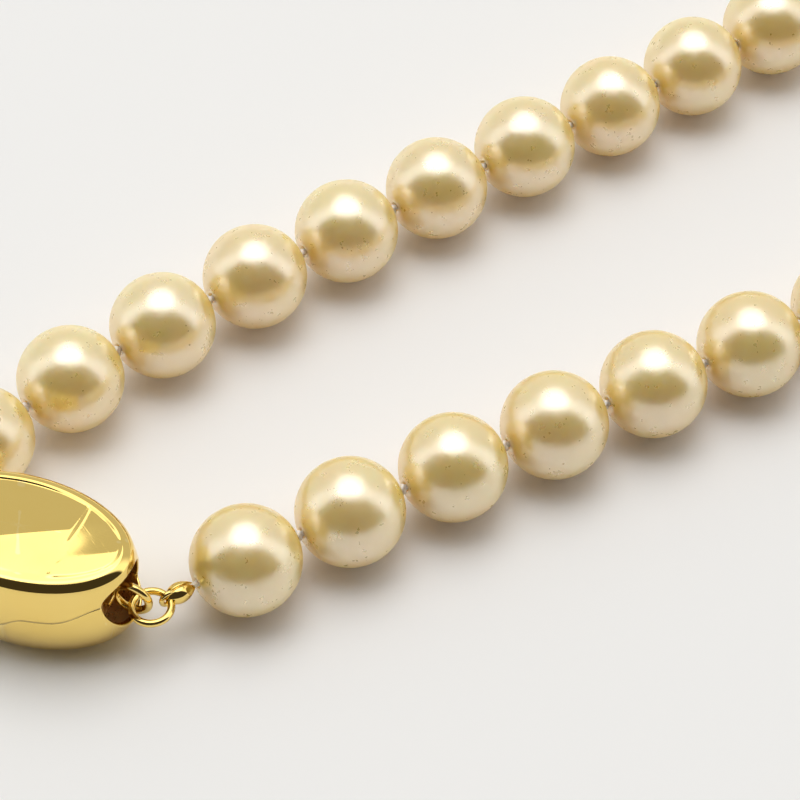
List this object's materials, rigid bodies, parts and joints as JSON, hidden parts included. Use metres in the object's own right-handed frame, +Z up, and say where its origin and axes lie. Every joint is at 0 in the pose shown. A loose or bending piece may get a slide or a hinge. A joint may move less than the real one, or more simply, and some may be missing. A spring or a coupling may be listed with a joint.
{
  "type": "pearl necklace",
  "caption": "Knotted choker of round cream pearls on silk, laid in a long loop and closed by a polished gold oval box clasp with jump rings and clamshell bead tips",
  "frame": {"origin": "below the middle of the necklace's box, on the surface it lies on", "axes": "+X runs along the two long strands, away from the clasp; +Y across the loop towards the rear strand; +Z up"},
  "size_m": [0.1906, 0.0506, 0.0087],
  "materials": {
    "pearl": "cream nacre, high lustre, slightly translucent, with faint rose and green overtones",
    "gold": "polished yellow gold",
    "silk": "white twisted silk"
  },
  "bodies": {
    "clasp": {"clasp_top_shell": "gold", "clasp_bottom_shell": "gold", "box_eye": "gold", "catch_sleeve": "gold", "silk_thread": "silk"},
    "tongue": {"tongue": "gold", "tongue_eye": "gold"},
    "ring_right": {"jump_ring_right": "gold"},
    "tip_right": {"bead_tip_right": "gold"},
    "ring_left": {"jump_ring_left": "gold"},
    "link_left": {"link_ring_left": "gold"},
    "tip_left": {"bead_tip_left": "gold"},
    "pearl_01": {"pearl_01": "pearl"},
    "pearl_02": {"pearl_02": "pearl"},
    "pearl_03": {"pearl_03": "pearl"},
    "pearl_04": {"pearl_04": "pearl"},
    "pearl_05": {"pearl_05": "pearl"},
    "pearl_06": {"pearl_06": "pearl"},
    "pearl_07": {"pearl_07": "pearl"},
    "pearl_08": {"pearl_08": "pearl"},
    "pearl_09": {"pearl_09": "pearl"},
    "pearl_10": {"pearl_10": "pearl"},
    "pearl_11": {"pearl_11": "pearl"},
    "pearl_12": {"pearl_12": "pearl"},
    "pearl_13": {"pearl_13": "pearl"},
    "pearl_14": {"pearl_14": "pearl"},
    "pearl_15": {"pearl_15": "pearl"},
    "pearl_16": {"pearl_16": "pearl"},
    "pearl_17": {"pearl_17": "pearl"},
    "pearl_18": {"pearl_18": "pearl"},
    "pearl_19": {"pearl_19": "pearl"},
    "pearl_20": {"pearl_20": "pearl"},
    "pearl_21": {"pearl_21": "pearl"},
    "pearl_22": {"pearl_22": "pearl"},
    "pearl_23": {"pearl_23": "pearl"},
    "pearl_24": {"pearl_24": "pearl"},
    "pearl_25": {"pearl_25": "pearl"},
    "pearl_26": {"pearl_26": "pearl"},
    "pearl_27": {"pearl_27": "pearl"},
    "pearl_28": {"pearl_28": "pearl"},
    "pearl_29": {"pearl_29": "pearl"},
    "pearl_30": {"pearl_30": "pearl"},
    "pearl_31": {"pearl_31": "pearl"},
    "pearl_32": {"pearl_32": "pearl"},
    "pearl_33": {"pearl_33": "pearl"},
    "pearl_34": {"pearl_34": "pearl"},
    "pearl_35": {"pearl_35": "pearl"},
    "pearl_36": {"pearl_36": "pearl"},
    "pearl_37": {"pearl_37": "pearl"},
    "pearl_38": {"pearl_38": "pearl"},
    "pearl_39": {"pearl_39": "pearl"},
    "pearl_40": {"pearl_40": "pearl"},
    "pearl_41": {"pearl_41": "pearl"},
    "pearl_42": {"pearl_42": "pearl"},
    "pearl_43": {"pearl_43": "pearl"},
    "pearl_44": {"pearl_44": "pearl"}
  },
  "joints": [
    {"name": "tongue_slide", "type": "slide", "parent": "clasp", "child": "tongue", "axis": [0.6088, -0.7934, 0], "range_m": [0, 0.01], "deforming": ["silk_thread"]},
    {"name": "ring_right_turn", "type": "hinge", "parent": "tongue", "child": "ring_right", "pos_m": [-0.08176, -0.01426, 0.004], "axis": [0, 0, 1], "range_deg": [-90, 0]},
    {"name": "tip_right_lift", "type": "hinge", "parent": "ring_right", "child": "tip_right", "pos_m": [-0.08036, -0.01422, 0.004], "axis": [0.029, -0.9996, 0], "range_deg": [-40, 40]},
    {"name": "ring_left_turn", "type": "hinge", "parent": "clasp", "child": "ring_left", "pos_m": [-0.09409, 0.00268, 0.004], "axis": [0, 0, 1], "range_deg": [0, 60]},
    {"name": "link_left_lift", "type": "hinge", "parent": "ring_left", "child": "link_left", "pos_m": [-0.09281, 0.00324, 0.004], "axis": [0.4, -0.9165, 0], "range_deg": [-40, 40]},
    {"name": "tip_left_turn", "type": "hinge", "parent": "link_left", "child": "tip_left", "pos_m": [-0.0911, 0.00399, 0.004], "axis": [0, 0, 1], "range_deg": [0, 12]},
    {"name": "knot_pearl_01", "type": "hinge", "parent": "tip_right", "child": "pearl_01", "pos_m": [-0.07836, -0.01416, 0.004], "axis": [0, 0, 1], "range_deg": [-20, 0]},
    {"name": "knot_pearl_02", "type": "hinge", "parent": "pearl_01", "child": "pearl_02", "pos_m": [-0.06986, -0.01424, 0.004], "axis": [0.0253, 0.9997, 0], "range_deg": [-30, 30]},
    {"name": "knot_pearl_03", "type": "hinge", "parent": "pearl_02", "child": "pearl_03", "pos_m": [-0.06137, -0.01459, 0.004], "axis": [0, 0, -1], "range_deg": [0, 30]},
    {"name": "knot_pearl_04", "type": "hinge", "parent": "pearl_03", "child": "pearl_04", "pos_m": [-0.05289, -0.01514, 0.004], "axis": [-0.07, -0.9975, 0], "range_deg": [-30, 30]},
    {"name": "knot_pearl_05", "type": "hinge", "parent": "pearl_04", "child": "pearl_05", "pos_m": [-0.04442, -0.01578, 0.004], "axis": [0, 0, 1], "range_deg": [-30, 0]},
    {"name": "knot_pearl_06", "type": "hinge", "parent": "pearl_05", "child": "pearl_06", "pos_m": [-0.03594, -0.01641, 0.004], "axis": [0.0711, 0.9975, 0], "range_deg": [-30, 30]},
    {"name": "knot_pearl_07", "type": "hinge", "parent": "pearl_06", "child": "pearl_07", "pos_m": [-0.02746, -0.01699, 0.004], "axis": [0, 0, -1], "range_deg": [0, 30]},
    {"name": "knot_pearl_08", "type": "hinge", "parent": "pearl_07", "child": "pearl_08", "pos_m": [-0.01898, -0.0175, 0.004], "axis": [-0.0556, -0.9985, 0], "range_deg": [-30, 30]},
    {"name": "knot_pearl_09", "type": "hinge", "parent": "pearl_08", "child": "pearl_09", "pos_m": [-0.01049, -0.01793, 0.004], "axis": [0, 0, 1], "range_deg": [-30, 0]},
    {"name": "knot_pearl_10", "type": "hinge", "parent": "pearl_09", "child": "pearl_10", "pos_m": [-0.00199, -0.01829, 0.004], "axis": [0.0398, 0.9992, 0], "range_deg": [-30, 30]},
    {"name": "knot_pearl_11", "type": "hinge", "parent": "pearl_10", "child": "pearl_11", "pos_m": [0.0065, -0.01861, 0.004], "axis": [0, 0, -1], "range_deg": [0, 30]},
    {"name": "knot_pearl_12", "type": "hinge", "parent": "pearl_11", "child": "pearl_12", "pos_m": [0.01499, -0.0189, 0.004], "axis": [-0.0352, -0.9994, 0], "range_deg": [-30, 30]},
    {"name": "knot_pearl_13", "type": "hinge", "parent": "pearl_12", "child": "pearl_13", "pos_m": [0.02349, -0.01921, 0.004], "axis": [0, 0, 1], "range_deg": [-30, 0]},
    {"name": "knot_pearl_14", "type": "hinge", "parent": "pearl_13", "child": "pearl_14", "pos_m": [0.03198, -0.01957, 0.004], "axis": [0.0497, 0.9988, 0], "range_deg": [-30, 30]},
    {"name": "knot_pearl_15", "type": "hinge", "parent": "pearl_14", "child": "pearl_15", "pos_m": [0.04046, -0.02005, 0.004], "axis": [0, 0, -1], "range_deg": [0, 30]},
    {"name": "knot_pearl_16", "type": "hinge", "parent": "pearl_15", "child": "pearl_16", "pos_m": [0.04894, -0.02072, 0.004], "axis": [-0.0746, -0.9972, 0], "range_deg": [-30, 30]},
    {"name": "knot_pearl_17", "type": "hinge", "parent": "pearl_16", "child": "pearl_17", "pos_m": [0.05742, -0.02132, 0.004], "axis": [0, 0, 1], "range_deg": [-30, 0]},
    {"name": "knot_pearl_18", "type": "hinge", "parent": "pearl_17", "child": "pearl_18", "pos_m": [0.06592, -0.02124, 0.004], "axis": [-0.0861, 0.9963, 0], "range_deg": [-30, 30]},
    {"name": "knot_pearl_19", "type": "hinge", "parent": "pearl_18", "child": "pearl_19", "pos_m": [0.0743, -0.01986, 0.004], "axis": [0, 0, -1], "range_deg": [0, 30]},
    {"name": "knot_pearl_20", "type": "hinge", "parent": "pearl_19", "child": "pearl_20", "pos_m": [0.08209, -0.01645, 0.004], "axis": [0.5612, -0.8277, 0], "range_deg": [-30, 30]},
    {"name": "knot_pearl_21", "type": "hinge", "parent": "pearl_20", "child": "pearl_21", "pos_m": [0.08814, -0.01048, 0.004], "axis": [0, 0, 1], "range_deg": [-30, 0]},
    {"name": "knot_pearl_22", "type": "hinge", "parent": "pearl_21", "child": "pearl_22", "pos_m": [0.0913, -0.00259, 0.004], "axis": [-0.991, 0.1339, 0], "range_deg": [-25, 25]},
    {"name": "knot_pearl_44", "type": "hinge", "parent": "tip_left", "child": "pearl_44", "pos_m": [-0.08926, 0.00479, 0.004], "axis": [0, 0, 1], "range_deg": [0, 20]},
    {"name": "knot_pearl_43", "type": "hinge", "parent": "pearl_44", "child": "pearl_43", "pos_m": [-0.08099, 0.00673, 0.004], "axis": [0.1915, -0.9815, 0], "range_deg": [-30, 30]},
    {"name": "knot_pearl_42", "type": "hinge", "parent": "pearl_43", "child": "pearl_42", "pos_m": [-0.07259, 0.00804, 0.004], "axis": [0, 0, 1], "range_deg": [0, 30]},
    {"name": "knot_pearl_41", "type": "hinge", "parent": "pearl_42", "child": "pearl_41", "pos_m": [-0.06413, 0.00887, 0.004], "axis": [-0.077, 0.997, 0], "range_deg": [-30, 30]},
    {"name": "knot_pearl_40", "type": "hinge", "parent": "pearl_41", "child": "pearl_40", "pos_m": [-0.05565, 0.00935, 0.004], "axis": [0, 0, -1], "range_deg": [-30, 0]},
    {"name": "knot_pearl_39", "type": "hinge", "parent": "pearl_40", "child": "pearl_39", "pos_m": [-0.04715, 0.00964, 0.004], "axis": [0.0277, -0.9996, 0], "range_deg": [-30, 30]},
    {"name": "knot_pearl_38", "type": "hinge", "parent": "pearl_39", "child": "pearl_38", "pos_m": [-0.03865, 0.00982, 0.004], "axis": [0, 0, 1], "range_deg": [0, 30]},
    {"name": "knot_pearl_37", "type": "hinge", "parent": "pearl_38", "child": "pearl_37", "pos_m": [-0.03016, 0.00999, 0.004], "axis": [-0.0232, 0.9997, 0], "range_deg": [-30, 30]},
    {"name": "knot_pearl_36", "type": "hinge", "parent": "pearl_37", "child": "pearl_36", "pos_m": [-0.02166, 0.01022, 0.004], "axis": [0, 0, -1], "range_deg": [-30, 0]},
    {"name": "knot_pearl_35", "type": "hinge", "parent": "pearl_36", "child": "pearl_35", "pos_m": [-0.01317, 0.0106, 0.004], "axis": [0.0589, -0.9983, 0], "range_deg": [-30, 30]},
    {"name": "knot_pearl_34", "type": "hinge", "parent": "pearl_35", "child": "pearl_34", "pos_m": [-0.00469, 0.01122, 0.004], "axis": [0, 0, 1], "range_deg": [0, 30]},
    {"name": "knot_pearl_33", "type": "hinge", "parent": "pearl_34", "child": "pearl_33", "pos_m": [0.00376, 0.01214, 0.004], "axis": [-0.1237, 0.9923, 0], "range_deg": [-30, 30]},
    {"name": "knot_pearl_32", "type": "hinge", "parent": "pearl_33", "child": "pearl_32", "pos_m": [0.01218, 0.01332, 0.004], "axis": [0, 0, -1], "range_deg": [-30, 0]},
    {"name": "knot_pearl_31", "type": "hinge", "parent": "pearl_32", "child": "pearl_31", "pos_m": [0.02056, 0.01474, 0.004], "axis": [0.1776, -0.9841, 0], "range_deg": [-30, 30]},
    {"name": "knot_pearl_30", "type": "hinge", "parent": "pearl_31", "child": "pearl_30", "pos_m": [0.0289, 0.01634, 0.004], "axis": [0, 0, 1], "range_deg": [0, 30]},
    {"name": "knot_pearl_29", "type": "hinge", "parent": "pearl_30", "child": "pearl_29", "pos_m": [0.03723, 0.01802, 0.004], "axis": [-0.1943, 0.981, 0], "range_deg": [-30, 30]},
    {"name": "knot_pearl_28", "type": "hinge", "parent": "pearl_29", "child": "pearl_28", "pos_m": [0.04558, 0.01965, 0.004], "axis": [0, 0, -1], "range_deg": [-30, 0]},
    {"name": "knot_pearl_27", "type": "hinge", "parent": "pearl_28", "child": "pearl_27", "pos_m": [0.05397, 0.02099, 0.004], "axis": [0.1128, -0.9936, 0], "range_deg": [-30, 30]},
    {"name": "knot_pearl_26", "type": "hinge", "parent": "pearl_27", "child": "pearl_26", "pos_m": [0.06245, 0.02156, 0.004], "axis": [0, 0, 1], "range_deg": [0, 30]},
    {"name": "knot_pearl_25", "type": "hinge", "parent": "pearl_26", "child": "pearl_25", "pos_m": [0.07091, 0.02076, 0.004], "axis": [0.2057, 0.9786, 0], "range_deg": [-30, 30]},
    {"name": "knot_pearl_24", "type": "hinge", "parent": "pearl_25", "child": "pearl_24", "pos_m": [0.07898, 0.01809, 0.004], "axis": [0, 0, -1], "range_deg": [-30, 0]},
    {"name": "knot_pearl_23", "type": "hinge", "parent": "pearl_24", "child": "pearl_23", "pos_m": [0.08583, 0.01305, 0.004], "axis": [-0.7328, -0.6805, 0], "range_deg": [-30, 30]}
  ]
}
